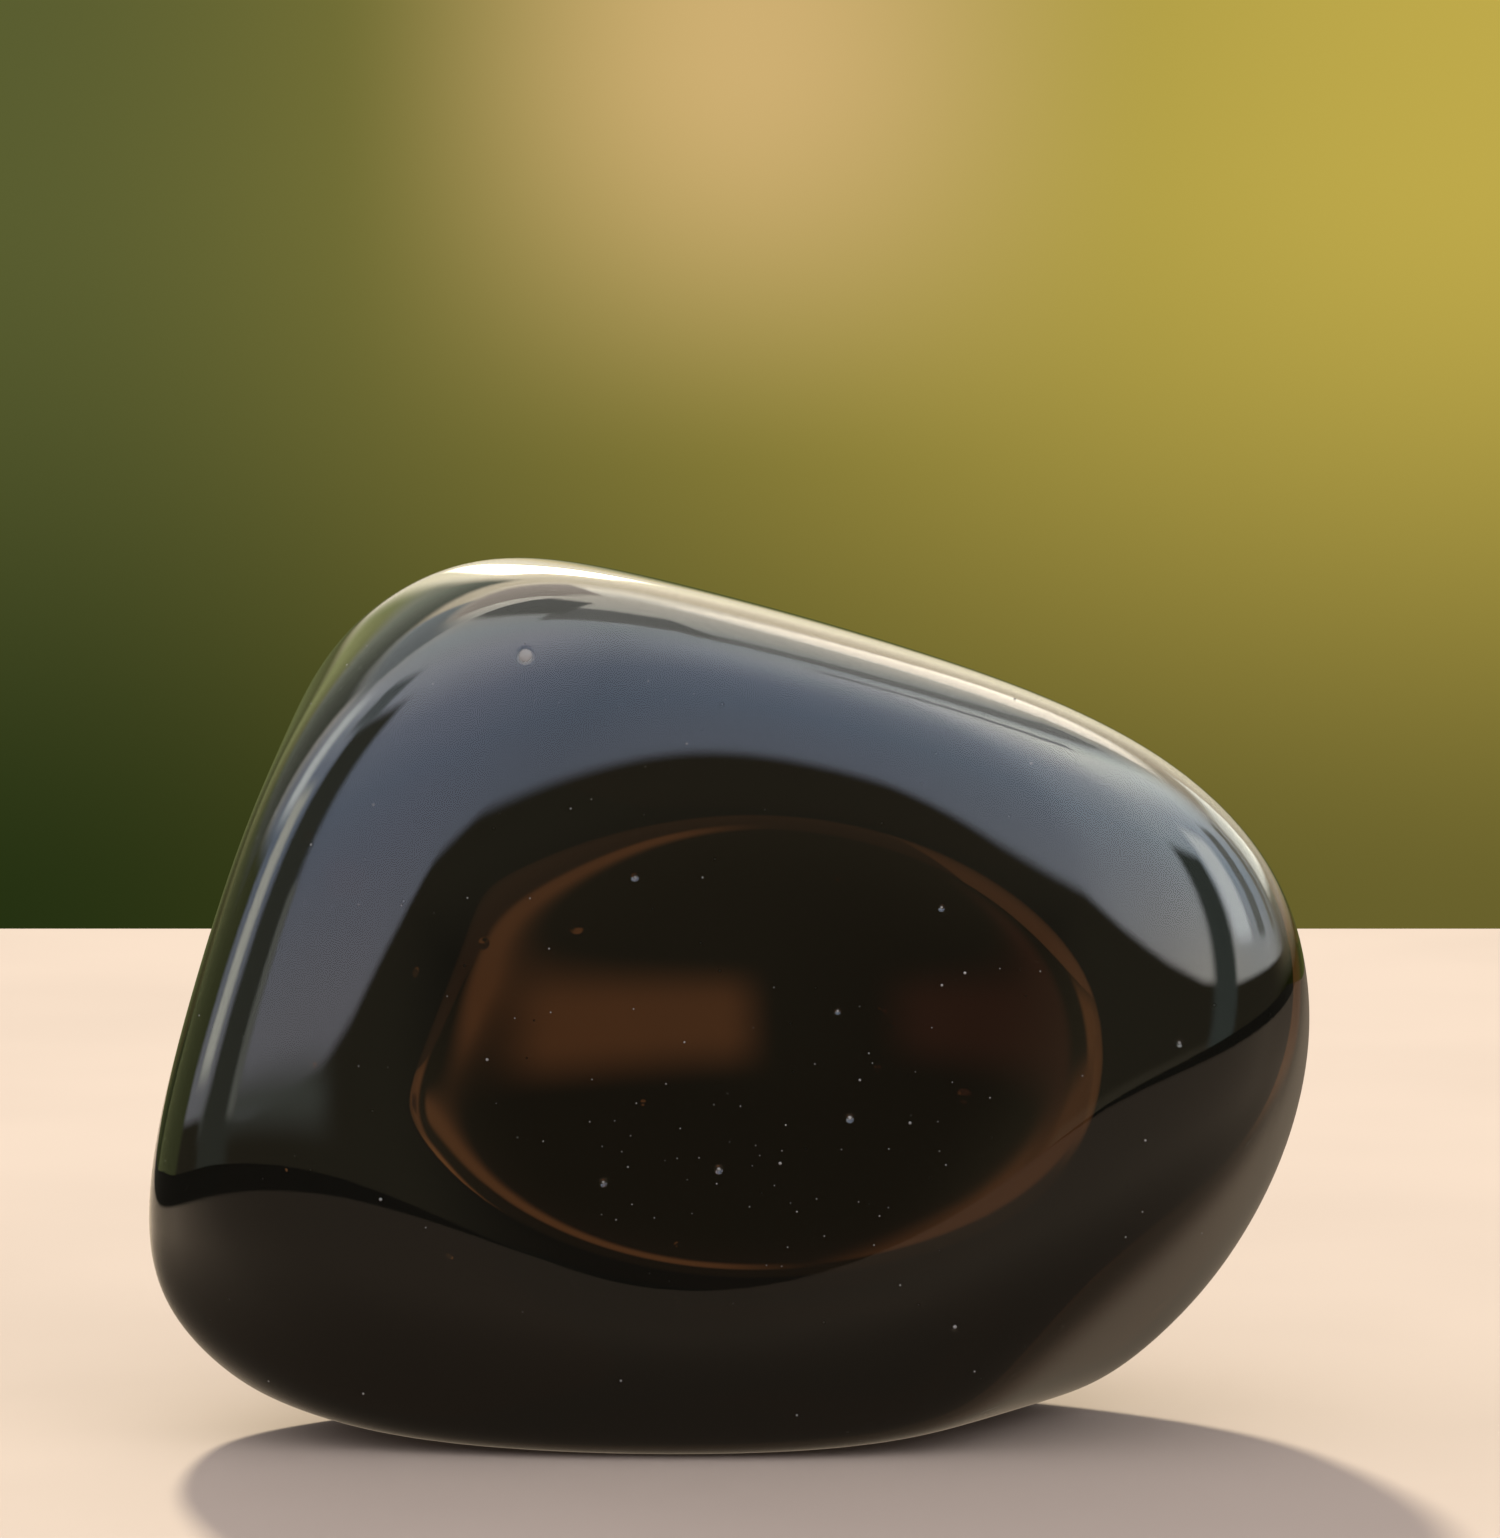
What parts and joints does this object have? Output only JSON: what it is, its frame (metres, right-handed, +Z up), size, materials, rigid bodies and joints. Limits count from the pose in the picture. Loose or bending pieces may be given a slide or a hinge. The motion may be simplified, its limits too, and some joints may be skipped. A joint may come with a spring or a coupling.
{
  "type": "tumbled obsidian stone",
  "caption": "Tumbled and polished stone of dark brown, nearly black, see-through volcanic glass, with worn flats and soft edges, resting on a flat patch.",
  "frame": {"origin": "under the middle of the stone, in the plane of the flat patch that it rests on", "axes": "+X to the right along the stone's length, +Y towards the back, with the broad front flat facing -Y, +Z up"},
  "size_m": [0.0334, 0.0218, 0.025],
  "materials": {
    "obsidian": "tumbled high polish with tiny pits"
  },
  "bodies": {
    "root": {"obsidian_stone": "obsidian"}
  },
  "joints": []
}
